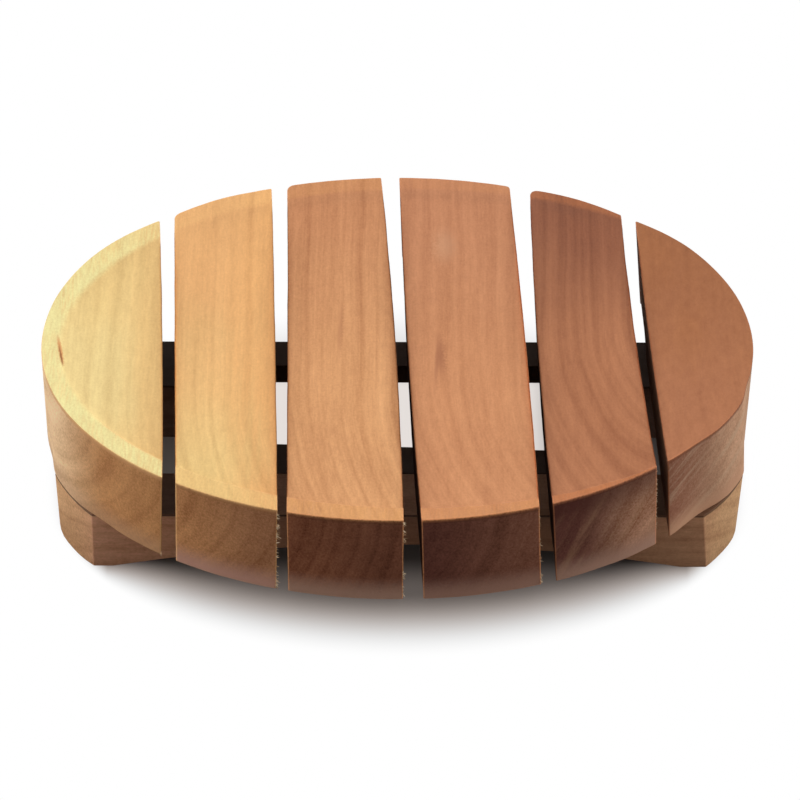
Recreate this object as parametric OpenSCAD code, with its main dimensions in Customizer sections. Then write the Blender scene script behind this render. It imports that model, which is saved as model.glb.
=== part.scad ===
// Oval soap dish: a thick oval deck sawn into six separate slats, carried on a
// long arched front rail, two rear feet and two thin battens, all pinned with brads.
// The origin is on the ground under the middle of the oval. +X is the long way,
// +Y points to the rear and +Z is up. All lengths are in millimetres.

/* [Deck] */
// Length of the oval, end to end
dish_l = 120; // [110:1:130]
// Width of the oval, front to rear
dish_w = 87; // [82:1:94]
// Thickness of the slats
slat_t = 18; // [16:0.5:22]
// Usual width of a saw gap between two slats
gap_w = 2.3; // [1.6:0.1:2.8]
// Width of the flat rim at the left end, the front and the rear
rim_w = 3; // [2:0.5:5]
// Depth of the step inside the rim
step_h = 0.6; // [0.3:0.1:0.8]
// Further depth of the middle, below the step
scoop_h = 0.6; // [0.3:0.1:1.2]

/* [Rail and feet] */
// Height of the rail and the feet
base_h = 12; // [11:0.5:14]
// Width of the front rail, front to rear
rail_w = 10.3; // [8:0.1:12]
// Distance of the rail's front face from the middle of the oval
rail_front = 23.2; // [21:0.1:25]
// Height of the arch cut under the rail
arch_h = 5.1; // [3:0.1:6]
// Width of each pad left at the ends of the arch, on the rail's front face
pad_l = 2.8; // [2:0.1:6]
// Width of a rear foot, front to rear
foot_w = 11.7; // [10:0.1:13]
// Distance of the rear feet's rear face from the middle of the oval
foot_rear = 20.7; // [18:0.1:22]

/* [Battens] */
// Thickness of the battens
batten_t = 4; // [3:0.1:5]
// Width of the rear batten
rear_batten_w = 6.4; // [5:0.1:7]
// Width of the front batten at its left end
front_batten_left_w = 7.8; // [6:0.1:8]
// Width of the front batten at its right end
front_batten_right_w = 5.7; // [5:0.1:8]
// How far the rear batten is housed in each rear foot
housing_l = 4; // [3:0.1:4.5]
// Clearance of the rear batten in its housings
housing_gap = 0.1; // [0.05:0.01:0.2]

/* [Brads] */
// Diameter of a brad's shank
brad_d = 1.4; // [1:0.1:1.6]
// Diameter of a brad's head
brad_head_d = 2.6; // [2:0.1:3]
// Thickness of a brad's head
brad_head_t = 0.6; // [0.4:0.1:0.8]
// Length of a brad's point
brad_point_l = 1.4; // [1:0.1:2]
// Length of the brads through the rail and the feet
base_brad_l = 16; // [15:0.5:16.5]
// Length of the brads through the battens
batten_brad_l = 12; // [9:0.5:13]
// Depth of a head below the wood's surface
brad_sink = 0.4; // [0.2:0.1:0.6]

/* [Hidden] */
$fn = 96;
arch_fn = 360;

slat_count = 6;
half_l = dish_l / 2;
half_w = dish_w / 2;
deck_top = base_h + slat_t;
// Overrun of the cutting shapes
cut = 1;

// The gaps were sawn by eye, so each has its own place, lean and width.
// A row holds the values at the rear, in the middle and at the front of the oval.
// Left side of each gap, as a share of half the length
gap_left_shares = [
    [-0.6972, -0.6603, -0.6365],
    [-0.3683, -0.3428, -0.3230],
    [-0.0492, -0.0045, 0.0200],
    [0.3200, 0.3613, 0.3912],
    [0.6383, 0.6720, 0.7365]
];
// Width of each gap, as a share of the usual width
gap_width_shares = [
    [1.24, 0.91, 0.99],
    [1.21, 0.89, 0.64],
    [1.37, 0.90, 1.28],
    [1.59, 0.90, 1.01],
    [0.98, 1.03, 0.68]
];
// Rear feet's inner ends, as a share of half the length
foot_inner_share = 0.5;

// Rail, feet and battens, front to rear
rail_rear = rail_w - rail_front;
rail_mid = rail_rear - rail_w / 2;
foot_front = foot_rear - foot_w;
rear_batten_front = foot_rear - rear_batten_w;
foot_mid = (foot_front + rear_batten_front) / 2;
front_batten_mid = rail_rear + (front_batten_left_w + front_batten_right_w) / 4;
rear_batten_mid = foot_rear - rear_batten_w / 2;

// Rear feet and battens, out from the middle
foot_inner = half_l * foot_inner_share;
batten_half = foot_inner + housing_l;
batten_brad_reach = foot_inner - brad_head_d;

// The arch is an arc through both ends of its span
arch_half = oval_x(rail_front) - pad_l;
arch_r = (pow(arch_half, 2) + pow(arch_h, 2)) / (2 * arch_h);

// Rings that make up the hollow's bowl, and its level middle as a share of the bowl
scoop_rings = 8;
level_share = 0.2;

slat_colours = ["#e9c885", "#e2b877", "#cf9a68", "#c98d62", "#b97a50", "#ad7048"];
base_colour = "#a9825a";
batten_colour = "#8f6a48";
brad_colour = "#9a9a98";

// Half length of the oval at a distance y from its long axis
function oval_x(y) = half_l * sqrt(1 - pow(y / half_w, 2));
// A row's value at a distance y
function along(row, y) =
    row[1] + (y > 0 ? row[0] - row[1] : row[1] - row[2]) * y / half_w;
// The two sides of gap g at a distance y
function gap_left(g, y) = half_l * along(gap_left_shares[g], y);
function gap_right(g, y) = gap_left(g, y) + gap_w * along(gap_width_shares[g], y);
// The middle of slat i at a distance y, out to the oval at the ends
function slat_left(i, y) = i == 0 ? -oval_x(y) : gap_right(i - 1, y);
function slat_right(i, y) = i == slat_count - 1 ? oval_x(y) : gap_left(i, y);
function slat_mid(i, y) = (slat_left(i, y) + slat_right(i, y)) / 2;
// Height of the rail's underside at a distance x from the middle
function arch_z(x) =
    abs(x) < arch_half ? arch_h - arch_r + sqrt(pow(arch_r, 2) - pow(x, 2)) : 0;

// Places of the brads, each with the height of its head's lower face
rail_spots = [for (i = [0 : slat_count - 1])
    let (x = slat_mid(i, rail_mid)) [x, rail_mid, arch_z(x) + brad_sink]];
foot_spots = [for (x = [
    slat_mid(0, foot_mid),
    -foot_inner - housing_l,
    foot_inner + housing_l,
    slat_mid(slat_count - 1, foot_mid)
]) [x, foot_mid, brad_sink]];
front_batten_spots = [for (i = [1 : slat_count - 2]) batten_brad(i, front_batten_mid)];
rear_batten_spots = [for (i = [1 : slat_count - 2]) batten_brad(i, rear_batten_mid)];

// A batten's brad is under the middle of slat i, or as near to it as the batten allows
function batten_brad(i, y) = [
    min(max(slat_mid(i, y), -batten_brad_reach), batten_brad_reach),
    y,
    base_h - batten_t + brad_sink
];

// The strip between two gaps for slat i, open outwards at the ends
module strip(i) {
    far = half_w + cut;
    end = half_l + cut;
    rear_to_front = [far, 0, -far];
    front_to_rear = [-far, 0, far];
    polygon(concat(
        [for (y = rear_to_front) [i == 0 ? -end : gap_right(i - 1, y), y]],
        [for (y = front_to_rear) [i == slat_count - 1 ? end : gap_left(i, y), y]]
    ));
}

// The oval outline through the whole height, with overrun
module oval_post() {
    translate([0, 0, -cut]) scale([half_l, half_w, 1])
        cylinder(h = deck_top + 2 * cut, r = 1);
}

// The hollow inside the rim: a small step, then a shallow bowl with a level middle.
// It lies the rim's width to the right of the deck's middle, so it runs out at the right end.
module scoop() {
    hollow_w = half_w - rim_w;
    floor_z = deck_top - step_h;
    level_z = floor_z - scoop_h * (1 - pow(level_share, 2));
    bowl = [for (n = [0 : scoop_rings])
        let (share = n / scoop_rings) [share, floor_z - scoop_h * (1 - pow(share, 2))]];
    intersection() {
        translate([rim_w, 0, 0]) scale([half_l, hollow_w, 1]) rotate_extrude()
            polygon(concat(bowl, [[1, deck_top + cut], [0, deck_top + cut]]));
        translate([rim_w - half_l - cut, -hollow_w - cut, level_z])
            cube([2 * (half_l + cut), 2 * (hollow_w + cut), slat_t]);
    }
}

// One brad of length l as a turned shape, and drop carries its head's hole down to the open
module brad(at, l, drop = 0) {
    head_r = brad_head_d / 2;
    shank_r = brad_d / 2;
    translate(at) rotate_extrude() polygon([
        [0, -drop],
        [head_r, -drop],
        [head_r, brad_head_t],
        [shank_r, brad_head_t],
        [shank_r, l - brad_point_l],
        [0, l]
    ]);
}

module brads(places, l, drop = 0) {
    for (at = places) brad(at, l, drop);
}

module slat(i) {
    color(slat_colours[i]) difference() {
        intersection() {
            translate([0, 0, base_h]) linear_extrude(slat_t) strip(i);
            oval_post();
        }
        scoop();
        brads(concat(rail_spots, foot_spots), base_brad_l);
        brads(concat(front_batten_spots, rear_batten_spots), batten_brad_l);
    }
}

module slat_1() { slat(0); }
module slat_2() { slat(1); }
module slat_3() { slat(2); }
module slat_4() { slat(3); }
module slat_5() { slat(4); }
module slat_6() { slat(5); }

// A block under the deck from x0 to x1 and y0 to y1, trimmed to the oval
module base_block(x0, x1, y0, y1) {
    intersection() {
        translate([x0, y0, 0]) cube([x1 - x0, y1 - y0, base_h]);
        oval_post();
    }
}

module front_rail() {
    color(base_colour) difference() {
        base_block(-half_l, half_l, -rail_front, rail_rear);
        translate([0, 0, arch_h - arch_r]) rotate([90, 0, 0])
            cylinder(h = half_w, r = arch_r, $fn = arch_fn);
        brads(rail_spots, base_brad_l, brad_sink + cut);
    }
}

// The rear batten's bar, which the housings repeat with their clearance
module rear_bar(gap = 0, over = 0) {
    translate([-batten_half - gap, rear_batten_front - gap, base_h - batten_t])
        cube([2 * (batten_half + gap), rear_batten_w + gap + over, batten_t + over]);
}

module rear_foot(x0, x1) {
    color(base_colour) difference() {
        base_block(x0, x1, foot_front, foot_rear);
        rear_bar(housing_gap, cut);
        brads(foot_spots, base_brad_l, brad_sink + cut);
    }
}

module rear_foot_left() { rear_foot(-half_l, -foot_inner); }
module rear_foot_right() { rear_foot(foot_inner, half_l); }

module front_batten() {
    color(batten_colour) difference() {
        translate([0, rail_rear, base_h - batten_t]) linear_extrude(batten_t) polygon([
            [-batten_half, 0],
            [batten_half, 0],
            [batten_half, front_batten_right_w],
            [-batten_half, front_batten_left_w]
        ]);
        brads(front_batten_spots, batten_brad_l, brad_sink + cut);
    }
}

module rear_batten() {
    color(batten_colour) difference() {
        rear_bar();
        brads(rear_batten_spots, batten_brad_l, brad_sink + cut);
    }
}

module front_rail_brads() { color(brad_colour) brads(rail_spots, base_brad_l); }
module rear_foot_brads() { color(brad_colour) brads(foot_spots, base_brad_l); }
module front_batten_brads() { color(brad_colour) brads(front_batten_spots, batten_brad_l); }
module rear_batten_brads() { color(brad_colour) brads(rear_batten_spots, batten_brad_l); }

slat_1();
slat_2();
slat_3();
slat_4();
slat_5();
slat_6();
front_rail();
rear_foot_left();
rear_foot_right();
front_batten();
rear_batten();
front_rail_brads();
rear_foot_brads();
front_batten_brads();
rear_batten_brads();
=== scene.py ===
# Oval slatted soap dish, dressed for its photograph: sawn slats, arched rail, feet, battens and brads
import math
import random
import bmesh
import bpy
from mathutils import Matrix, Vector, noise


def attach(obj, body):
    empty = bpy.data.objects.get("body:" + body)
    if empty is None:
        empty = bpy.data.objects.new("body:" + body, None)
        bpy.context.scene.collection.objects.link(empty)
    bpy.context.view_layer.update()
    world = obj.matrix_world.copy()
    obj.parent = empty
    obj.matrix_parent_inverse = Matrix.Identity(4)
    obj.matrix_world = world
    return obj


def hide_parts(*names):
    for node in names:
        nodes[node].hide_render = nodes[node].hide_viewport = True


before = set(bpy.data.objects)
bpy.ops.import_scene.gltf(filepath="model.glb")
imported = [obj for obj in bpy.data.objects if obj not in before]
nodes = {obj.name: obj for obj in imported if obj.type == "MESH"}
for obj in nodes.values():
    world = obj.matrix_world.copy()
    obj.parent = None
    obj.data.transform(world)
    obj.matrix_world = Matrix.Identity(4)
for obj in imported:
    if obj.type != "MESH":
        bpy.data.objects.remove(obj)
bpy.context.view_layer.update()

print("frame loaded:", len(nodes), "nodes")


# Shader maths: a socket that can be added, multiplied and so on; its node method makes any node
class Wire:
    def __init__(self, tree, socket=None):
        self.tree = tree
        self.socket = socket

    def node(self, kind, settings=None, values=None):
        # the settings are set first, then the values or links of the sockets; gives back the outputs
        step = self.tree.nodes.new(kind)
        for key, value in (settings or {}).items():
            setattr(step, key, value)
        for key, value in (values or {}).items():
            if isinstance(value, Wire):
                self.tree.links.new(value.socket, step.inputs[key])
            else:
                step.inputs[key].default_value = value
        return [Wire(self.tree, out) for out in step.outputs]

    def maths(self, operation, *values):
        return self.node("ShaderNodeMath", {"operation": operation}, dict(enumerate(values)))[0]

    def mix(self, amount, first, second, blend="MIX"):
        return self.node("ShaderNodeMix", {"data_type": "RGBA", "blend_type": blend},
                         {0: amount, 6: first, 7: second})[2]

    def noise(self, at, scale=1.0, detail=2.0, rough=0.5):
        return self.node("ShaderNodeTexNoise", None,
                         {"Vector": at, "Scale": scale, "Detail": detail, "Roughness": rough})[0]

    def point(self, first, second, third):
        return self.node("ShaderNodeCombineXYZ", None, {0: first, 1: second, 2: third})[0]

    def into(self, target):
        self.tree.links.new(self.socket, target)

    def __add__(self, other):
        return self.maths("ADD", self, other)

    def __radd__(self, other):
        return self.maths("ADD", other, self)

    def __sub__(self, other):
        return self.maths("SUBTRACT", self, other)

    def __rsub__(self, other):
        return self.maths("SUBTRACT", other, self)

    def __mul__(self, other):
        return self.maths("MULTIPLY", self, other)

    def __truediv__(self, other):
        return self.maths("DIVIDE", self, other)

    def __pow__(self, other):
        return self.maths("POWER", self, other)

    def root(self):
        return self.maths("SQRT", self)

    def size(self):
        return self.maths("ABSOLUTE", self)

    def wave(self):
        return self.maths("COSINE", self)

    def atMost(self, other):
        return self.maths("MINIMUM", self, other)

    def smooth(self, low, high):
        # 0 below low and 1 above high, with a soft step between
        return self.node("ShaderNodeMapRange", {"interpolation_type": "SMOOTHSTEP"},
                         {"Value": self, "From Min": low, "From Max": high})[0]


def tone(red, green, blue):
    # a colour as it is seen on a screen, from 0 to 255
    def linear(c):
        c = c / 255
        return c / 12.92 if c <= 0.04045 else ((c + 0.055) / 1.055) ** 2.4
    return (linear(red), linear(green), linear(blue), 1)


def newMaterial(name):
    material = bpy.data.materials.new(name)
    material.use_nodes = True
    tree = material.node_tree
    return material, Wire(tree), tree.nodes["Principled BSDF"].inputs


def dim(factor, base, depth):
    # a base colour made lighter or darker by a varying factor, strongest in blue
    shade = factor.node("ShaderNodeCombineColor", None,
                        {0: factor * depth * 0.75 + 1, 1: factor * depth + 1, 2: factor * depth * 1.2 + 1})[0]
    return factor.mix(1.0, base, shade, "MULTIPLY")


# The oval deck, in millimetres: the rim is also how far the hollow lies to the right of the middle,
# and corner is a corner's usual radius, seen from above
deck = {
    "halfLength": 60.0,
    "halfWidth": 43.5,
    "bottom": 12.0,
    "top": 30.0,
    "rim": 3.0,
    "step": 0.6,
    "hollow": 0.6,
    "rounding": 0.15,
    "waviness": 0.035,
    "sawWander": 0.07,
    "corner": 0.22,
}
thickness = deck["top"] - deck["bottom"]


def ovalShare(x, y):
    # the square of how far out a point lies: 1 on the oval; for numbers and for shader values
    outX = x / deck["halfLength"]
    outY = y / deck["halfWidth"]
    return outX * outX + outY * outY


def millimetres(paint):
    # where a point lies on its object
    at = paint.node("ShaderNodeTexCoord")[3]
    scaled = paint.node("ShaderNodeVectorMath", {"operation": "SCALE"}, {0: at, "Scale": 1000})[0]
    return paint.node("ShaderNodeSeparateXYZ", None, {0: scaled})


# Heights between which a look on the walls comes in or fades
bands = {
    "jointShadow": (11.5, 11.8),
    "glimmer": (12.4, 17.4),
    "topShade": (22.0, 29.0),
    "lip": (28.9, 29.5),
    "overLip": (29.8, 29.9),
}


def woodMaterial(look):
    # solid wood: rings round a far pith line, fibres along the grain, darker end grain and sawn faces
    material, paint, sockets = newMaterial(look["name"])
    x, y, z = millimetres(paint)
    nx, ny, nz = paint.node("ShaderNodeSeparateXYZ", None, {0: paint.node("ShaderNodeTexCoord")[1]})
    wearAndGlint = paint.node("ShaderNodeAttribute", {"attribute_name": "wearAndGlint"})[2]
    isSlat = look["grain"] == "y"
    across, length, end = (x, y, ny.size()) if isSlat else (y, x, nx.size())
    seed = look["seed"]

    def cloud(acrossScale, lengthScale, zScale, shift=0.0, detail=2.0, rough=0.5):
        # a noise between 0 and 1, in steps per millimetre
        at = paint.point(across * acrossScale + seed + shift, length * lengthScale, z * zScale)
        return paint.noise(at, 1.0, detail, rough)

    # rings: the grain lines run straight at the rear and swing to the right towards the front
    wobble = (cloud(0.045, 0.018, 0.045) - 0.5) * look["wobble"]
    lines = across
    if isSlat:
        turnX, turnY, stretch = look["turn"]
        swingX = x - turnX
        swingY = (y - turnY).atMost(0.0) / stretch
        lines = turnX - (swingX * swingX + swingY * swingY).root()
    pithX, pithZ = look["pith"]
    dx = lines - pithX + wobble
    dz = z - pithZ + wobble * 0.5
    radius = (dx * dx + dz * dz).root()
    ringNoise = paint.noise(paint.point(radius * look["rings"], length * 0.006, seed), 1.0, 5.0, 0.7)
    ringLine = ((radius * look["rings"] * 5.2 + wobble * 2.0).wave() * 0.5 + 0.5) ** 3.0
    ring = (ringNoise - 0.5) * -2.4 - (ringLine - 0.3) * 0.3
    fibre = cloud(2.1, 0.36, 2.1, 2.0, 3.0, 0.65) - 0.5
    long = cloud(0.9, 0.03, 0.9, 9.0, 2.0) - 0.5
    grit = cloud(2.6, 2.1, 2.6, 5.0, 2.0, 0.6) - 0.5
    patch = cloud(0.11, 0.05, 0.11, 11.0, 2.0) - 0.5
    mottle = cloud(0.6, 0.4, 0.6, 14.0, 3.0, 0.6) - 0.5
    figure = ring * look["ringDepth"] + fibre * 1.5 + long * 0.9 + grit * 1.3 + patch * 1.4
    figure = figure + mottle * look["mottle"]

    # the colour changes slowly over the board, partly the wood's own tone and partly painted light that makes
    # the tops lighter towards the front
    base = paint.mix((length + patch * 30.0).smooth(*look["span"]), look["front"], look["back"])
    # painted light: on the pale slats the top turns darker and more orange towards the right, away from the
    # light
    if "right" in look:
        start, stop, far = look["right"]
        base = paint.mix((x + patch * 8.0 + long * 5.0).smooth(start, stop), base, far)
    colour = dim(figure, base, look["depth"])
    if "rim" in look:
        # the rim is paler than the hollow, its own tone with a painted sheen on it, with short ticks across
        # it at the front
        amount, rimColour = look["rim"]
        offX = (x - deck["rim"]) / deck["halfLength"]
        offY = y / (deck["halfWidth"] - deck["rim"])
        inside = (offX * offX + offY * offY).root()
        tick = cloud(2.6, 0.3, 1.0, 17.0, 2.0).smooth(0.34, 0.62) * 0.8
        scatter = cloud(0.16, 0.1, 0.1, 19.0, 2.0).smooth(0.35, 0.6) * 0.6 + 0.15
        tick = 1 - (1 - tick) * scatter
        edge = (inside + grit * 0.012).smooth(0.985, 1.012) * nz.smooth(0.5, 0.9)
        edge = edge * tick * (1 - y.smooth(20.0, 34.0) * look["rearRim"])
        colour = paint.mix(edge * amount, colour, dim(grit + fibre, rimColour, 0.35))
    for mark in look.get("marks", []):
        # a single mark, be it a stain, a streak, a painted shadow or a painted sheen: its middle, half sizes,
        # slant, softness, strength and colour
        mx, my, rx, ry, slant, soft, strength, stain = mark
        ux = (x - mx - (y - my) * slant + grit * rx * 0.9) / rx
        uy = (y - my) / ry
        spot = 1 - (ux * ux + uy * uy).root().smooth(soft, 1.0)
        colour = paint.mix(spot * strength * nz.smooth(0.2, 0.5), colour, stain)

    # end grain: the same rings cut across, grittier and darker
    endMask = (nx * nx + ny * ny).root().smooth(0.35, 0.9) if isSlat else end.smooth(0.4, 0.9)
    endGrit = cloud(3.0, 3.0, 2.2, 21.0, 3.0, 0.7) - 0.5
    endFigure = ring * look["ringDepth"] * look["endRings"] + endGrit * 3.6 + grit * 2.2 + patch * 1.6
    endBase = paint.mix(x.smooth(*look["endSpan"]), look["endLeft"], look["endRight"])
    endColour = dim(endFigure + mottle * 1.2, endBase, look["endDepth"])
    if "streak" in look:
        # slanting pale streaks on the outside of an end slat
        slope, pale, amount = look["streak"]
        below = deck["top"] - z
        streakAt = paint.point((across + below * slope) * 0.4 + seed, (z + across * 0.5) * 0.06, 0.0)
        streak = paint.noise(streakAt, 1.0, 3.0, 0.6)
        endColour = paint.mix((streak + endGrit * 0.15).smooth(0.46, 0.72) * amount, endColour, pale)
    if isSlat:
        # painted light from the floor greys the lower part of the wall, and painted shade darkens the wall
        # towards its lip colour just under the top edge
        nearFoot = 1 - (z + grit * 1.5).smooth(*bands["glimmer"])
        endColour = paint.mix(nearFoot * look["glimmer"], endColour, look["foot"])
        nearTop = z.smooth(*bands["topShade"]) * look["topShade"]
        endColour = paint.mix(nearTop, endColour, look["lip"])
        # painted shade: a thin band just under the top edge takes the darker lip colour
        atLip = z.smooth(*bands["lip"]) * (1 - z.smooth(*bands["overLip"]))
        endColour = paint.mix(atLip * 0.75, endColour, look["lip"])
    colour = paint.mix(endMask, colour, endColour)
    relief = fibre * 0.6 + grit * 0.4 + endGrit * endMask * 0.8
    if isSlat:
        # painted shade: the sawn faces inside the gaps are darkened towards the saw colour, as the gaps get
        # little light
        sawn = nx.size().smooth(0.8, 0.95) * (1 - ovalShare(x, y).root().smooth(0.985, 0.995))
        colour = paint.mix(sawn * 0.72, colour, look["saw"])
        # worn edges are paler, with a painted highlight where light catches them
        colour = paint.mix(wearAndGlint * (grit * 2.0 + 0.8).smooth(0.0, 1.0) * 0.85, colour, look["edge"])
        saw = paint.noise(paint.point(x * 0.25, y * 2.6, z * 0.12))
        relief = relief + saw * sawn * 2.0
    else:
        # painted shade: the top faces under the slats, the front faces under the middle of the deck and the
        # joints under the slats are darkened towards the shade colour
        under = 1 - ovalShare(x, y).smooth(1.03, 1.1)
        nearEnds = x.size().smooth(28.0, 37.0)
        colour = paint.mix(nz.smooth(0.7, 0.95) * under * (nearEnds * 0.35 + 0.45), colour, look["shade"])
        colour = paint.mix((1 - ny.smooth(-0.9, -0.5)) * (1 - nearEnds) * 0.5, colour, look["shade"])
        jointShadow = z.smooth(*bands["jointShadow"]) * (1 - nz.smooth(0.7, 0.95))
        colour = paint.mix(jointShadow * 0.8, colour, look["shade"])
    colour.into(sockets["Base Color"])
    (0.52 + fibre * 0.25 + endMask * 0.16 + patch * 0.2).into(sockets["Roughness"])
    sockets["Specular IOR Level"].default_value = look["specular"]
    # relief: fibres along the grain, grit on the end grain and saw lines up the sawn faces
    bump = paint.node("ShaderNodeBump", None, {"Strength": 0.3, "Distance": 0.00006, "Height": relief})[0]
    bump.into(sockets["Normal"])
    return material


# The gaps, each as rear, middle and front: the left side in half lengths and the width in usual widths
gaps = {
    "left": [(-0.6972, -0.6603, -0.6365), (-0.3683, -0.3428, -0.3230), (-0.0492, -0.0045, 0.0200),
             (0.3200, 0.3613, 0.3912), (0.6383, 0.6720, 0.7365)],
    "width": [(1.24, 0.91, 0.99), (1.21, 0.89, 0.64), (1.37, 0.90, 1.28),
              (1.59, 0.90, 1.01), (0.98, 1.03, 0.68)],
    "usual": 2.3,
}
lastSlat = len(gaps["left"])
# How far each slat's sawn sides lean from top to bottom: left and right, each at the front and the rear
leans = [((0.0, 0.0), (-0.7, -0.6)), ((-0.43, -0.4), (-0.45, -0.3)), ((0.0, 0.1), (-0.1, 0.0)),
         ((0.35, 0.5), (0.6, 0.6)), ((0.9, 0.9), (0.48, 0.6)), ((0.73, 1.42), (0.0, 0.0))]
# Where the hand-sanded outline runs fuller than the oval at its front ends: on the right and the left,
# by height, each with the most it adds, where along y, and the half width of the swelling
swells = {
    1: {"top": (0.85, -17.6, 6.0), "bottom": (1.9, -15.6, 5.6),
        "railTop": (1.3, -16.6, 7.4), "floor": (1.55, -20.4, 7.2)},
    -1: {"top": (0.0, -17.0, 9.0), "bottom": (0.95, -17.0, 6.3),
         "railTop": (0.6, -17.0, 8.0), "floor": (0.95, -18.6, 5.0)},
}
# Where it runs fuller at the rear: for each slat the most it adds to y, at which x, and the half width
rearSwells = {0: (1.05, -52.0, 9.0), 1: (0.4, -31.0, 6.0), 4: (0.57, 31.0, 8.0), 5: (1.0, 50.5, 8.5)}
# How far the right and left end walls lean in from top to bottom
tapers = {1: 0.55, -1: 0.22}
# The swelling grows to full from 45 mm to just inside the outline on the deck, but not before 50 mm,
# and on the rail only close to the outline
swellRun = {"deckFrom": 45.0, "deckTo": 50.0, "railFrom": 0.96, "outline": 0.985}
# The corners that are rounder than usual, with their radius
softCorners = {(0, "rearRight"): 0.35, (1, "rearLeft"): 1.0, (2, "rearLeft"): 1.3,
               (3, "rearRight"): 0.6, (4, "rearLeft"): 1.5}
# How far the wear and its painted highlight reach in from an edge: along the front and the outer ends,
# elsewhere, and at a corner
wearRun = {"front": 0.32, "usual": 0.14, "corner": 0.13}
# The rings of a slat's wall below its top edge: height, how far in from the ring above, and how worn, which
# also sets the painted edge highlight
wallRings = [(29.72, 0.0, 0.5), (29.2, 0.0, 0.0), (25.0, 0.03, 0.0), (20.5, 0.04, 0.0), (16.0, 0.03, 0.0),
             (12.5, 0.0, 0.0), (12.25, 0.0, 0.0), (12.1, 0.0, 0.25),
             (deck["bottom"], 0.1, 0.25), (deck["bottom"], 0.8, 0.0)]


def ramp(value, low, high):
    # 0 below low and 1 above high, with a straight slope between
    return min(1.0, max(0.0, (value - low) / (high - low)))


def eased(value, low, high):
    # the same with a soft step between
    share = ramp(value, low, high)
    return share * share * (3 - 2 * share)


def between(first, last, share):
    return first + (last - first) * share


def rowValue(row, y):
    # a value at y from its values at the rear, in the middle and at the front
    t = y / deck["halfWidth"]
    rear, middle, front = row
    return middle + (rear - front) / 2 * t + ((rear + front) / 2 - middle) * t * t


def gapLeft(gap, y):
    return deck["halfLength"] * rowValue(gaps["left"][gap], y)


def gapRight(gap, y):
    return gapLeft(gap, y) + gaps["usual"] * rowValue(gaps["width"][gap], y)


def sideX(slat, side, y):
    # the sawn face, which wanders a little because it was cut by hand
    if side == "left":
        x = gapRight(slat - 1, y)
    else:
        x = gapLeft(slat, y)
    wander = noise.noise(Vector((slat * 7.3 + (side == "left") * 3.1, y * 0.11, 0)))
    fuzz = noise.noise(Vector((slat * 5.9 + (side == "left") * 1.7, y * 0.7, 4)))
    return x + (wander + fuzz * 0.35) * deck["sawWander"]


def ovalY(x):
    return deck["halfWidth"] * math.sqrt(max(0.0, 1 - (x / deck["halfLength"]) ** 2))


def ovalX(y):
    return deck["halfLength"] * math.sqrt(max(0.0, 1 - (y / deck["halfWidth"]) ** 2))


def swelling(x, y, z):
    # how far the outline's swelling pushes a point at this place outwards along x
    side = 1 if x > 0 else -1

    def hump(name):
        amount, middle, half = swells[side][name]
        return amount * math.exp(-((y - middle) / half) ** 4)

    if z > deck["bottom"]:
        share = (deck["top"] - z) / thickness
        most = hump("top") * (1 - share) + (hump("bottom") - tapers[side]) * share
        inner = swellRun["deckFrom"]
        outer = max(ovalX(y) * swellRun["outline"], swellRun["deckTo"])
    else:
        share = z / deck["bottom"]
        most = hump("floor") * (1 - share) + hump("railTop") * share
        inner = ovalX(y) * swellRun["railFrom"]
        outer = ovalX(y) * swellRun["outline"]
    return side * most * eased(abs(x), inner, outer)


def rearSwelling(slat, x, y):
    # how far the outline's fuller rear pushes a point at this place along y
    if slat not in rearSwells or y < 0:
        return 0.0
    amount, middle, half = rearSwells[slat]
    near = eased(math.sqrt(ovalShare(x, y)), 0.8, 0.98)
    return amount * math.exp(-((x - middle) / half) ** 2) * near * min(1.0, y / 10)


def cornerOf(slat, side, sign):
    # where a sawn face meets the oval, at the rear (1) or the front (-1), found by stepping nearer
    y = sign * deck["halfWidth"] * 0.8
    for step in range(30):
        y = sign * ovalY(sideX(slat, side, y))
    return Vector((sideX(slat, side, y), y))


def arcPoint(angle):
    return Vector((deck["halfLength"] * math.cos(angle), deck["halfWidth"] * math.sin(angle)))


def arcAngle(point):
    return math.atan2(point.y / deck["halfWidth"], point.x / deck["halfLength"])


def slatSides(slat):
    # the four edges of a slat seen from above, each as a function from 0 to 1
    if 0 < slat < lastSlat:
        frontLeft = cornerOf(slat, "left", -1)
        frontRight = cornerOf(slat, "right", -1)
        rearLeft = cornerOf(slat, "left", 1)
        rearRight = cornerOf(slat, "right", 1)

        def front(u):
            x = between(frontLeft.x, frontRight.x, u)
            return Vector((x, -ovalY(x)))

        def rear(u):
            x = between(rearLeft.x, rearRight.x, u)
            return Vector((x, ovalY(x)))

        def left(v):
            y = between(frontLeft.y, rearLeft.y, v)
            return Vector((sideX(slat, "left", y), y))

        def right(v):
            y = between(frontRight.y, rearRight.y, v)
            return Vector((sideX(slat, "right", y), y))

        return front, rear, left, right
    # an end slat: the oval's end makes three of its edges, the front and rear ones a third each
    side = "right" if slat == 0 else "left"
    frontCorner = cornerOf(slat, side, -1)
    rearCorner = cornerOf(slat, side, 1)
    start = arcAngle(frontCorner)
    stop = arcAngle(rearCorner)
    if slat == 0:
        start += 2 * math.pi
    third = 0.34

    def outer(share):
        return arcPoint(between(start, stop, share))

    def cut(v):
        y = between(frontCorner.y, rearCorner.y, v)
        return Vector((sideX(slat, side, y), y))

    def tip(v):
        return outer(third + (1 - 2 * third) * v)

    if slat == 0:
        return (lambda u: outer(third * (1 - u))), (lambda u: outer(1 - third * (1 - u))), tip, cut
    return (lambda u: outer(third * u)), (lambda u: outer(1 - third * u)), cut, tip


def spread(length, coarse, rimEnds):
    # offsets from both ends of a side: close at the rounded edges and over the rim's step
    rimRun, fine = 5.2, 0.2

    def offsets(hasRim):
        marks = [0, 0.04, 0.12, 0.25]
        while marks[-1] < length / 2:
            marks.append(marks[-1] + (fine if hasRim and marks[-1] < rimRun else coarse))
        return [mark / length for mark in marks if mark < length / 2 - coarse * 0.3]

    return offsets(rimEnds[0]) + [1 - share for share in reversed(offsets(rimEnds[1]))]


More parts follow.
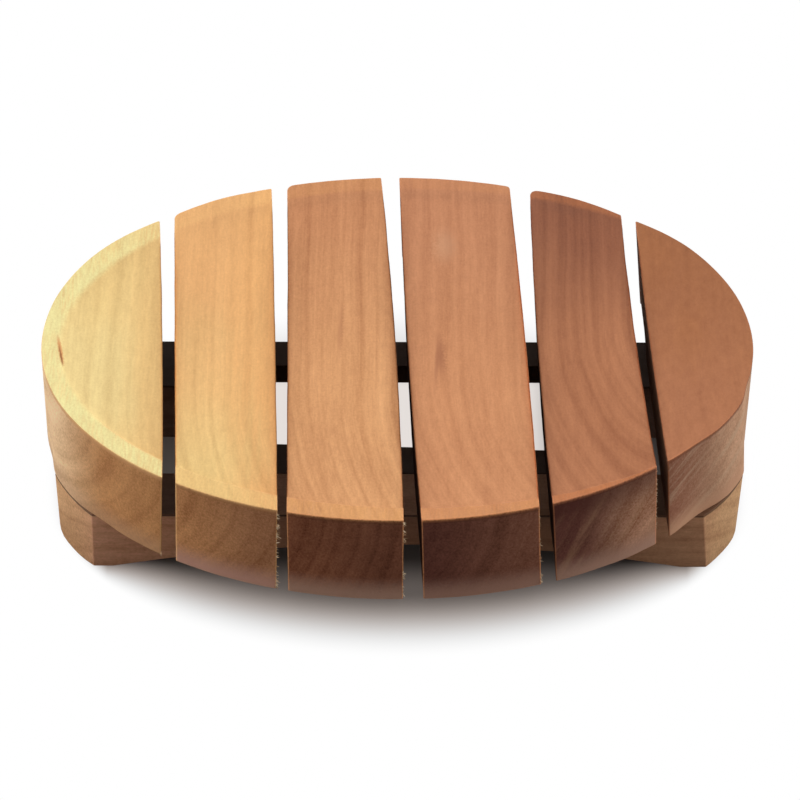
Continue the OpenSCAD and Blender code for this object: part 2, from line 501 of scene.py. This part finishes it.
def topHeight(x, y):
    # the flat rim, the small step inside it and the shallow hollow; the step is worn away at the rear
    offX = x - deck["rim"]
    reach = math.hypot(offX / deck["halfLength"], y / (deck["halfWidth"] - deck["rim"]))
    inside = math.hypot(offX, y) * (1 / max(reach, 1e-6) - 1)
    worn = noise.noise(Vector((x * 0.35, y * 0.35, 1.5))) * 0.15
    rear = ramp(y, 8, 28)
    right = ramp(x, 30, 48)
    left = ramp(-x, 50, 55)
    run = 0.6 + 2.4 * rear
    step = deck["step"] * (1 - 0.55 * rear) * (1 - 0.75 * right - 0.65 * left)
    drop = step * eased(inside + worn, 0.0, run)
    if reach < 1:
        drop += deck["hollow"] * (1 - 0.3 * right) * (1 - reach * reach)
    uneven = noise.noise(Vector((x * 0.09, y * 0.06, 0.3))) * deck["waviness"]
    return deck["top"] - drop + min(0.0, uneven - deck["waviness"] * 0.5)


def shadeSmooth(bm, degrees):
    # smooth faces, with hard edges where they meet at more than this angle
    for face in bm.faces:
        face.smooth = True
    for edge in bm.edges:
        edge.smooth = edge.calc_face_angle(0.0) < math.radians(degrees)


def buildSlat(slat):
    front, rear, left, right = slatSides(slat)
    width = (right(0.5) - left(0.5)).length
    length = (rear(0.5) - front(0.5)).length
    middle = (front(0.5) + rear(0.5)) / 2
    isEnd = slat in (0, lastSlat)
    # a grid over the top, finer towards its edges: u runs to the right and v to the rear
    us = spread(width, 0.7, (slat == 0, slat == lastSlat))
    vs = spread(length, 1.0, (True, True))
    bm = bmesh.new()
    wearAndGlint = bm.verts.layers.float.new("wearAndGlint")
    shareU = bm.verts.layers.float.new("shareU")
    isCorner = bm.verts.layers.float.new("isCorner")
    bmesh.ops.create_grid(bm, x_segments=len(us) - 1, y_segments=len(vs) - 1, size=0.5)
    for vert in bm.verts:
        u = us[round((vert.co.x + 0.5) * (len(us) - 1))]
        v = vs[round((vert.co.y + 0.5) * (len(vs) - 1))]
        du = min(u, 1 - u) * width
        dv = min(v, 1 - v) * length
        name = ("rear" if v > 0.5 else "front") + ("Right" if u > 0.5 else "Left")
        radius = softCorners.get((slat, name), deck["corner"])
        outerSide = isEnd and (u > 0.5) == (slat == lastSlat)
        if outerSide:
            radius = 0
        fall = min(du, dv)
        vert[shareU] = u
        vert[isCorner] = float(max(du, dv) < wearRun["corner"] and not outerSide)
        if du < radius and dv < radius:
            # round the corner: a square patch becomes a quarter disc
            p = radius - du
            q = radius - dv
            most = max(p, q)
            shrink = most / math.hypot(p, q) if most > 0 else 1
            fall = radius - most
            du = radius - p * shrink
            dv = radius - q * shrink
            u = du / width if u <= 0.5 else 1 - du / width
            v = dv / length if v <= 0.5 else 1 - dv / length
        flat = front(u) * (1 - v) + rear(u) * v + left(v) * (1 - u) + right(v) * u
        flat = flat - front(0) * (1 - u) * (1 - v) - front(1) * u * (1 - v)
        flat = flat - rear(0) * (1 - u) * v - rear(1) * u * v
        # the top edge is rounded over, more in some places than in others
        turn = deck["rounding"]
        height = topHeight(flat.x, flat.y)
        if fall < turn:
            height -= turn - math.sqrt(turn * turn - (turn - fall) ** 2)
        worn = 0.5 + noise.noise(Vector((flat.x * 0.4, flat.y * 0.4, slat)))
        height -= 0.04 * worn * math.exp(-fall / 0.35)
        vert.co = (flat.x, flat.y, height)
        atFront = v < 0.5 and dv < du
        vert[wearAndGlint] = max(0.0, 1 - fall / wearRun["front" if atFront or outerSide else "usual"])
    # walls: rings of points from the top edge down to a small chamfer and the flat underside
    leftLean, rightLean = leans[slat]
    ring = [e for e in bm.edges if len(e.link_faces) == 1]
    lowest = deck["bottom"]
    previous = deck["top"]
    for level, inset, worn in wallRings:
        made = bmesh.ops.extrude_edge_only(bm, edges=ring)["geom"]
        ring = [g for g in made if isinstance(g, bmesh.types.BMEdge)]
        slant = (previous - level) / thickness
        previous = level
        for vert in [g for g in made if isinstance(g, bmesh.types.BMVert)]:
            x, y = vert.co.x, vert.co.y
            # a point of the outline moves along it when the sawn face leans, one of a sawn face moves in x
            onArc = ovalShare(x, y) > 0.985
            u = vert[shareU]
            back = ramp(y, -40, 40)
            lean = between(*leftLean, back) * (1 - u) + between(*rightLean, back) * u
            newX = x + slant * lean
            if onArc and ovalY(x) > 3:
                y = y * ovalY(newX) / ovalY(x)
            outward = Vector((-1 if u < 0.5 else 1, 0))
            if onArc:
                outward = Vector((newX / deck["halfLength"] ** 2, y / deck["halfWidth"] ** 2)).normalized()
            dent = inset
            if lowest < level:
                dent = inset * (0.6 + noise.noise(Vector((x * 0.2, y * 0.2, level * 0.15))))
            vert.co = (newX - outward.x * dent, y - outward.y * dent, level)
            if level == lowest:
                # the underside steps in towards the slat's middle, so no corner folds over
                inX = (middle.x - newX) * 2 * inset / width
                inY = (middle.y - y) * 2 * inset / length
                vert.co = (newX + inX, y + inY, level)
            vert[wearAndGlint] = max(worn, 0.8 * vert[isCorner])
    for vert in bm.verts:
        vert.co.y += rearSwelling(slat, vert.co.x, vert.co.y)
        if isEnd:
            vert.co.x += swelling(vert.co.x, vert.co.y, max(vert.co.z, lowest + 0.01))
    bmesh.ops.holes_fill(bm, edges=ring, sides=0)
    bmesh.ops.recalc_face_normals(bm, faces=bm.faces)
    if bm.calc_volume(signed=True) < 0:
        bmesh.ops.reverse_faces(bm, faces=bm.faces)
    shadeSmooth(bm, 38)
    return bm


def finishPiece(name, bm, material, replaced=None):
    # the shapes are worked out in millimetres, so the last step is the scale to metres
    bmesh.ops.scale(bm, vec=(0.001, 0.001, 0.001), verts=bm.verts)
    mesh = bpy.data.meshes.new(name)
    bm.to_mesh(mesh)
    bm.free()
    piece = bpy.data.objects.new(name, mesh)
    bpy.context.scene.collection.objects.link(piece)
    mesh.materials.append(material)
    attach(piece, "root")
    if replaced:
        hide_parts(replaced)


# What every wood has unless its own table says otherwise
usualWood = {
    "grain": "y", "span": (-15, 42), "mottle": 0.6, "endRings": 1.4, "glimmer": 0.9, "topShade": 0.0,
    # saw is the painted shade colour of the sawn faces inside the gaps
    "specular": 0.22, "saw": tone(92, 64, 46),
}
# Each slat's wood: its colours on the top (front, back and right, partly painted light) and on the end grain,
# where they change along y or x, how the rings lie, and its rim with painted sheen, lower wall in painted
# floor light, lip in painted shade, streaks and single marks
slatLooks = [
    {"name": "pale wood left", "slot": "pale_wood", "edge": tone(255, 204, 136),
     "front": tone(236, 208, 142), "back": tone(229, 187, 118), "span": (-5, 38), "depth": 0.2,
     "right": (-50, -40, tone(231, 190, 124)), "turn": (150, -5, 1.0),
     "endLeft": tone(255, 214, 166), "endRight": tone(218, 154, 98), "endSpan": (-59, -48), "endDepth": 0.24,
     "pith": (-70, 32), "wobble": 2.5, "rings": 0.38, "ringDepth": 0.9, "endRings": 1.7, "seed": 1.3,
     "rim": (0.7, tone(242, 236, 168)), "rearRim": 0.5,
     "foot": tone(205, 160, 125), "glimmer": 0.5, "lip": tone(230, 168, 116),
     # painted shadow: two dark arcs on the left end, where the rim's step casts its shadow
     "marks": [(-56.72, -2.0, 0.5, 4.8, -0.17, 0.35, 0.85, tone(216, 146, 88)),
               (-56.55, -3.3, 0.28, 3.4, -0.17, 0.2, 0.9, tone(140, 84, 36))]},
    {"name": "pale wood right", "slot": "pale_wood", "edge": tone(255, 200, 132),
     "front": tone(232, 196, 128), "back": tone(230, 172, 111), "span": (-38, 22), "depth": 0.2,
     "right": (-32, -19, tone(233, 172, 107)), "turn": (66, -8, 1.0),
     "endLeft": tone(214, 148, 95), "endRight": tone(190, 130, 89), "endSpan": (-37, -21), "endDepth": 0.3,
     "pith": (-62, 30.6), "wobble": 2.5, "rings": 0.4, "ringDepth": 1.2, "seed": 4.1,
     "rim": (0.6, tone(240, 196, 126)), "rearRim": 0.8,
     "foot": tone(218, 164, 144), "lip": tone(186, 124, 80)},
    {"name": "honey wood left", "slot": "honey_wood", "edge": tone(244, 170, 112),
     "front": tone(216, 155, 103), "back": tone(197, 133, 89), "depth": 0.26, "turn": (79, -8, 1.0),
     "endLeft": tone(152, 92, 62), "endRight": tone(134, 80, 56), "endSpan": (-17, 0), "endDepth": 0.4,
     "pith": (-50, 30), "wobble": 2.5, "rings": 0.42, "ringDepth": 1.6, "endRings": 1.2, "seed": 9.7,
     "rim": (0.5, tone(224, 160, 94)), "rearRim": 0.55,
     "foot": tone(200, 156, 134), "lip": tone(90, 40, 22),
     "marks": [(-9.6, 5.0, 0.7, 11.0, 0.02, 0.0, 0.4, tone(160, 96, 62))]},
    {"name": "honey wood right", "slot": "honey_wood", "edge": tone(240, 160, 104),
     "front": tone(204, 139, 94), "back": tone(191, 127, 88), "depth": 0.24, "turn": (68, -8, 1.0),
     "endLeft": tone(112, 62, 48), "endRight": tone(140, 88, 66), "endSpan": (3, 23), "endDepth": 0.4,
     "pith": (-24, 31), "wobble": 4.0, "rings": 0.42, "ringDepth": 1.0, "seed": 14.9,
     "rim": (0.5, tone(214, 144, 86)), "rearRim": 0.55,
     "foot": tone(188, 142, 122), "lip": tone(84, 36, 22),
     "marks": [(7.4, -2.0, 1.3, 8.0, -0.06, 0.0, 0.5, tone(146, 84, 56)),
               (6.6, -5.0, 0.6, 9.0, 0.05, 0.0, 0.4, tone(150, 88, 60)),
               # painted sheen: a pale patch at the rear where light glances off the top
               (8.0, 26.0, 3.0, 6.0, 0.0, 0.1, 0.3, tone(214, 166, 130))]},
    {"name": "red wood left", "slot": "red_wood", "edge": tone(214, 136, 92),
     "front": tone(174, 111, 73), "back": tone(138, 81, 53), "span": (-4, 36), "depth": 0.26,
     "turn": (46, 5.3, 2.34),
     "endLeft": tone(106, 59, 47), "endRight": tone(196, 143, 112), "endSpan": (29, 42), "endDepth": 0.36,
     "pith": (-1, 30.5), "wobble": 3.0, "rings": 0.42, "ringDepth": 1.9, "endRings": 1.0, "seed": 21.3,
     "rim": (0.6, tone(202, 122, 70)), "rearRim": 0.4,
     "foot": tone(190, 147, 126), "topShade": 0.65, "lip": tone(80, 34, 24),
     "streak": (0.52, tone(186, 140, 106), 0.4)},
    {"name": "red wood right", "slot": "red_wood", "edge": tone(206, 132, 90), "saw": tone(146, 108, 84),
     "front": tone(175, 112, 74), "back": tone(160, 99, 59), "span": (-25, 25), "depth": 0.2,
     "turn": (110, -5, 1.0), "mottle": 1.8,
     "endLeft": tone(158, 104, 79), "endRight": tone(206, 158, 124), "endSpan": (45, 57), "endDepth": 0.28,
     "pith": (15, 40), "wobble": 3.0, "rings": 0.4, "ringDepth": 0.5, "seed": 30.1,
     "foot": tone(212, 160, 126), "lip": tone(120, 66, 44),
     "streak": (1.3, tone(210, 176, 144), 0.6)},
]
for number, look in enumerate(slatLooks):
    wood = woodMaterial({**usualWood, **look})
    finishPiece(f"oiled_slat_{number + 1}", buildSlat(number), wood, f"slat_{number + 1}")
    print("slat", number + 1, "built")


# The rail, feet and battens: the solids' own shapes with eased edges
baseLook = {
    **usualWood, "name": "base wood", "grain": "x",
    "front": tone(240, 176, 138), "back": tone(206, 150, 112), "depth": 0.35,
    "endLeft": tone(213, 163, 117), "endRight": tone(205, 158, 114), "endSpan": (-50, 50), "endDepth": 0.3,
    "pith": (-40, -30), "wobble": 3.0, "rings": 0.42, "ringDepth": 0.8, "seed": 41.0,
    "specular": 0.2, "shade": tone(64, 42, 28),
}
# painted shade: the feet and battens take darker, greyer copies of the base wood, as they stand in shade
# under the deck
shadedFootLook = dict(baseLook, name="foot wood", front=tone(112, 90, 78), back=tone(108, 86, 74), seed=47.0)
shadedBattenLook = dict(baseLook, name="batten wood", front=tone(92, 64, 46), back=tone(84, 58, 42), seed=52.0)
# The solids' edges are rounded this much, but not this near a brad's hole
easing = {"edge": 0.22, "brads": 1.7}
bradNames = [name for name in nodes if name.endswith("brads")]
bradSpots = [(v.co.x * 1000, v.co.y * 1000) for name in bradNames for v in nodes[name].data.vertices]


def dressNode(nodeName, pieceName, material):
    bm = bmesh.new()
    bm.from_mesh(nodes[nodeName].data)
    bmesh.ops.scale(bm, vec=(1000, 1000, 1000), verts=bm.verts)
    bmesh.ops.remove_doubles(bm, verts=bm.verts, dist=0.002)
    bmesh.ops.dissolve_limit(bm, angle_limit=math.radians(1.0), verts=bm.verts, edges=bm.edges)

    def nearBrad(edge):
        at = (edge.verts[0].co + edge.verts[1].co) / 2
        return any(math.hypot(at.x - x, at.y - y) < easing["brads"] for x, y in bradSpots)

    sharp = [e for e in bm.edges if e.calc_face_angle(0.0) > math.radians(28) and not nearBrad(e)]
    bmesh.ops.bevel(bm, geom=sharp, offset=easing["edge"], segments=3, profile=0.5, affect="EDGES",
                    material=-1, clamp_overlap=True)
    if nodeName == "front_rail":
        for vert in bm.verts:
            vert.co.x += swelling(vert.co.x, vert.co.y, min(vert.co.z, deck["bottom"]))
    shadeSmooth(bm, 34)
    finishPiece(pieceName, bm, material, nodeName)


baseWood = woodMaterial(baseLook)
shadedFootWood = woodMaterial(shadedFootLook)
shadedBattenWood = woodMaterial(shadedBattenLook)
dressNode("front_rail", "arched_rail", baseWood)
dressNode("rear_foot_left", "left_foot", shadedFootWood)
dressNode("rear_foot_right", "right_foot", shadedFootWood)
dressNode("front_batten", "front_strip", shadedBattenWood)
dressNode("rear_batten", "rear_strip", shadedBattenWood)
print("base built")

# The brads keep their solids and get a drawn wire finish
steel, steelPaint, steelSockets = newMaterial("brad wire steel")
steelNoise = steelPaint.noise(steelPaint.node("ShaderNodeTexCoord")[3], 2600.0, 3.0)
steelPaint.mix(steelNoise, (0.36, 0.36, 0.37, 1), (0.58, 0.57, 0.56, 1)).into(steelSockets["Base Color"])
(0.28 + steelNoise * 0.25).into(steelSockets["Roughness"])
steelSockets["Metallic"].default_value = 1.0
for name in bradNames:
    nodes[name].data.materials.clear()
    nodes[name].data.materials.append(steel)
print("brads finished")


# Torn fibres that the saw left on the front corners of the sawn faces, mostly in small tufts: each
# tuft has a middle height and how far it reaches up and down
tears = [
    {"slat": 1, "count": 16, "long": 0.9, "thick": 0.09,
     "tufts": [(28.6, 0.8), (26.2, 0.5), (24.3, 0.6), (13.4, 1.2), (18.0, 6.0)]},
    {"slat": 2, "count": 14, "long": 0.8, "thick": 0.09,
     "tufts": [(29.2, 0.4), (26.5, 1.5), (17.6, 0.8), (14.0, 1.2)]},
    {"slat": 3, "count": 12, "long": 0.7, "thick": 0.08,
     "tufts": [(27.0, 2.5), (21.0, 4.0), (14.2, 1.2), (12.8, 0.4)]},
    {"slat": 4, "count": 22, "long": 0.35, "thick": 0.07, "tufts": [(27.0, 2.2), (23.5, 3.5), (19.5, 3.5)]},
    {"slat": 0, "count": 8, "long": 0.6, "thick": 0.07, "tufts": [(12.9, 0.6)]},
]
random.seed(8)
tornBm = bmesh.new()
for tear in tears:
    corner = cornerOf(tear["slat"], "right", -1)
    lean = leans[tear["slat"]][1][0]
    for middle, half in tear["tufts"]:
        for fibre in range(tear["count"]):
            size = tear["thick"] * random.uniform(0.5, 1.0)
            reach = tear["long"] * random.uniform(0.25, 1.0) ** 1.6
            made = bmesh.ops.create_cone(tornBm, cap_ends=True, cap_tris=True, segments=4, radius1=size,
                                         radius2=size * 0.2, depth=reach)["verts"]
            out = (random.uniform(0.3, 1.0), random.uniform(-0.6, 0.1), random.uniform(-0.8, 0.8))
            turn = Vector((0, 0, 1)).rotation_difference(Vector(out).normalized())
            height = min(29.7, max(12.15, middle + random.uniform(-half, half)))
            shift = lean * (deck["top"] - height) / thickness
            foot = Vector((corner.x + shift - 0.08, corner.y + random.uniform(0.05, 0.2), height))
            for vert in made:
                vert.co = turn @ (vert.co + Vector((0, 0, reach * 0.5))) + foot
torn, tornPaint, tornSockets = newMaterial("torn fibres")
tornNoise = tornPaint.noise(tornPaint.node("ShaderNodeTexCoord")[3], 900.0, 1.0)
tornColour = tornPaint.mix(tornNoise.smooth(0.35, 0.65), tone(250, 226, 190), tone(214, 168, 124))
tornColour.into(tornSockets["Base Color"])
tornSockets["Roughness"].default_value = 0.8
finishPiece("torn_fibres", tornBm, torn)
print("torn fibres built")


# The stage: a pale floor. The camera sees it white away from the dish; under the oval a painted shadow,
# shaped by the oval's footprint, hands over to the floor's own lit shade, and a painted glow makes it bright
# again between the rear feet.
stageLook = {"grey": (0.28, 0.28, 0.28, 1), "shade": (0.20, 0.195, 0.19, 1), "size": 4.0}
floorMesh = bpy.data.meshes.new("floor")
floorBm = bmesh.new()
bmesh.ops.create_grid(floorBm, x_segments=1, y_segments=1, size=stageLook["size"])
floorBm.to_mesh(floorMesh)
floorBm.free()
floor = bpy.data.objects.new("floor", floorMesh)
bpy.context.scene.collection.objects.link(floor)
floorMaterial, floorPaint = newMaterial("pale floor")[:2]
floorNodes = floorMaterial.node_tree.nodes
floorNodes.remove(floorNodes["Principled BSDF"])
fx, fy = millimetres(floorPaint)[:2]
footprint = ovalShare(fx, fy).root()
# the painted shadow fades out over a long way at the middle and a short way at the ends
sideways = (fx.size() / 48.0).atMost(1.02) ** 2.0
fadeStart = sideways * 0.2 + sideways ** 4.0 * 0.055 + 0.673
white = footprint.smooth(fadeStart, fx * 0.0002 + 1.043)
# painted light: a little lift of the shadow in front, more white beside the ends and behind, and the painted
# glow between the rear feet
paintedLift = (1 - fy.smooth(-29.0, -20.5)) * 0.086
beside = fx.size().smooth(50.0, 61.0)
white = 1 - (1 - white) * (1 - paintedLift) * (1 - beside) * (1 - fy.smooth(26.0, 34.0) * 0.7)
paintedGlow = (1 - fx.size().smooth(22.0, 32.0)) * fy.smooth(-9.0, -4.0) * (1 - fy.smooth(22.0, 30.0)) * 0.78
paintedGlowEnds = fx.size().smooth(32.0, 35.0) * (1 - fx.size().smooth(43.0, 47.0)) * fy.smooth(-13.0, -10.0)
paintedGlowEnds = paintedGlowEnds * (1 - fy.smooth(9.0, 12.0)) * 0.025
white = 1 - (1 - white) * (1 - paintedGlow) * (1 - paintedGlowEnds)
plain = floorPaint.node("ShaderNodeBsdfDiffuse", None, {"Color": stageLook["grey"]})[0]
shaded = floorPaint.node("ShaderNodeBsdfDiffuse", None, {"Color": stageLook["shade"]})[0]
# the painted shadow's fading edge and the painted glow are tinted warm
paintedTint = floorPaint.mix(white.smooth(0.0, 0.9), (1, 0.85, 0.77, 1), (1, 1, 1, 1))
paintedTint = floorPaint.mix(paintedGlow, paintedTint, (1, 0.92, 0.87, 1))
bright = floorPaint.node("ShaderNodeEmission", None, {"Color": paintedTint, "Strength": 1.0})[0]
seen = floorPaint.node("ShaderNodeMixShader", None, {0: white, 1: shaded, 2: bright})[0]
cameraRay = floorPaint.node("ShaderNodeLightPath")[0]
whole = floorPaint.node("ShaderNodeMixShader", None, {0: cameraRay, 1: plain, 2: seen})[0]
whole.into(floorNodes["Material Output"].inputs["Surface"])
floorMesh.materials.append(floorMaterial)

# The surroundings: bright behind and above, strong low light from both ends, dim towards the camera
tent = {"bright": 0.72, "dim": 0.05, "ends": 3.9}
world = bpy.data.worlds.new("light tent")
bpy.context.scene.world = world
world.use_nodes = True
sky = Wire(world.node_tree)
dirX, dirY, dirZ = sky.node("ShaderNodeSeparateXYZ", None, {0: sky.node("ShaderNodeTexCoord")[0]})


def skyLight(strength):
    return sky.node("ShaderNodeBackground", None, {"Color": (1, 1, 1, 1), "Strength": strength})[0]


def skyMix(share, first, second):
    return sky.node("ShaderNodeMixShader", None, {0: share, 1: first, 2: second})[0]


behind = (dirY + dirZ * 0.25 + dirX * 0.06).smooth(-0.8, 0.15)
atEnds = (dirX.size() - dirZ.size() * 0.35 + dirY * 0.25).smooth(0.62, 0.95)
tentLight = skyMix(behind, skyLight(tent["dim"]), skyLight(tent["bright"]))
tentLight = skyMix(atEnds, tentLight, skyLight(tent["ends"]))
tentLight = skyMix(sky.node("ShaderNodeLightPath")[0], tentLight, skyLight(1.0))
tentLight.into(world.node_tree.nodes["World Output"].inputs["Surface"])

# One large soft lamp above and behind
lamp = {"name": "top softbox", "place": (-0.05, 0.30, 0.80), "size": 0.6, "power": 2.2,
        "tint": (1, 0.98, 0.95)}
light = bpy.data.lights.new(lamp["name"], "AREA")
light.size = lamp["size"]
light.energy = lamp["power"]
light.color = lamp["tint"]
box = bpy.data.objects.new(lamp["name"], light)
box.location = lamp["place"]
box.rotation_euler = (-Vector(lamp["place"])).to_track_quat("-Z", "Y").to_euler()
bpy.context.scene.collection.objects.link(box)

# The camera, fitted to the photograph: a long lens from the front; down and turn are in degrees
photoView = {"place": (0.0028, -0.7056, 0.6573), "down": 42.22, "turn": 0.19, "lens": 252.0, "sensor": 36.0}
cameraData = bpy.data.cameras.new("camera")
cameraData.sensor_width = photoView["sensor"]
cameraData.lens = photoView["lens"]
cameraData.clip_start = 0.05
camera = bpy.data.objects.new("camera", cameraData)
camera.location = photoView["place"]
camera.rotation_euler = (math.radians(90 - photoView["down"]), 0, math.radians(photoView["turn"]))
bpy.context.scene.collection.objects.link(camera)
bpy.context.scene.camera = camera
bpy.context.scene.view_settings.view_transform = "Standard"
print("stage set")
